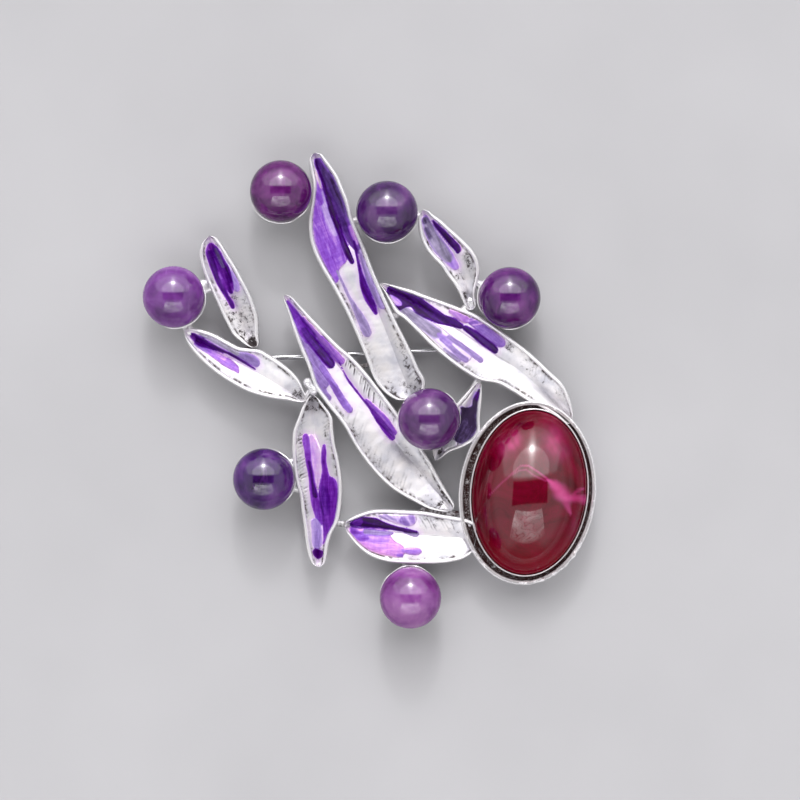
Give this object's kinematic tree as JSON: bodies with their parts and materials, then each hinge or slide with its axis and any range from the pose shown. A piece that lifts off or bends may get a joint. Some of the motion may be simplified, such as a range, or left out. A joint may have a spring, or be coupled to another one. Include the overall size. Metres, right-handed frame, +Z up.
{
  "type": "leaf brooch",
  "caption": "Spray of folded silver leaves with purple enamel, round amethyst beads in cups and an oval agate cabochon, with a hinged pin on the back.",
  "frame": {"origin": "middle of the bounding box, on the surface that the brooch lies on", "axes": "+Z up from the surface through the face of the brooch, +Y towards the top as it is worn, +X to the right"},
  "size_m": [0.0588, 0.0616, 0.0106],
  "materials": {
    "silver": "bright silver plate with dark patina in the recesses",
    "enamel": "glossy translucent purple enamel",
    "amethyst": "polished purple quartz",
    "agate": "polished crimson agate with pink veins",
    "steel": "polished wire"
  },
  "bodies": {
    "frame": {"leaf_frame": "silver", "enamel_top": "enamel", "enamel_centre": "enamel", "enamel_left_upper": "enamel", "enamel_left_lower": "enamel", "enamel_bottom_left": "enamel", "enamel_bottom": "enamel", "enamel_right": "enamel", "enamel_right_small": "enamel", "enamel_small": "enamel", "bead_1": "amethyst", "bead_2": "amethyst", "bead_3": "amethyst", "bead_4": "amethyst", "bead_5": "amethyst", "bead_6": "amethyst", "bead_7": "amethyst", "cabochon": "agate"},
    "pin": {"pin_stem": "steel"}
  },
  "joints": [
    {"name": "pin_hinge", "type": "hinge", "parent": "frame", "child": "pin", "pos_m": [-0.01662, 0.00423, 0.0014], "axis": [-0.0462, 0.9989, 0], "range_deg": [0, 90]}
  ]
}
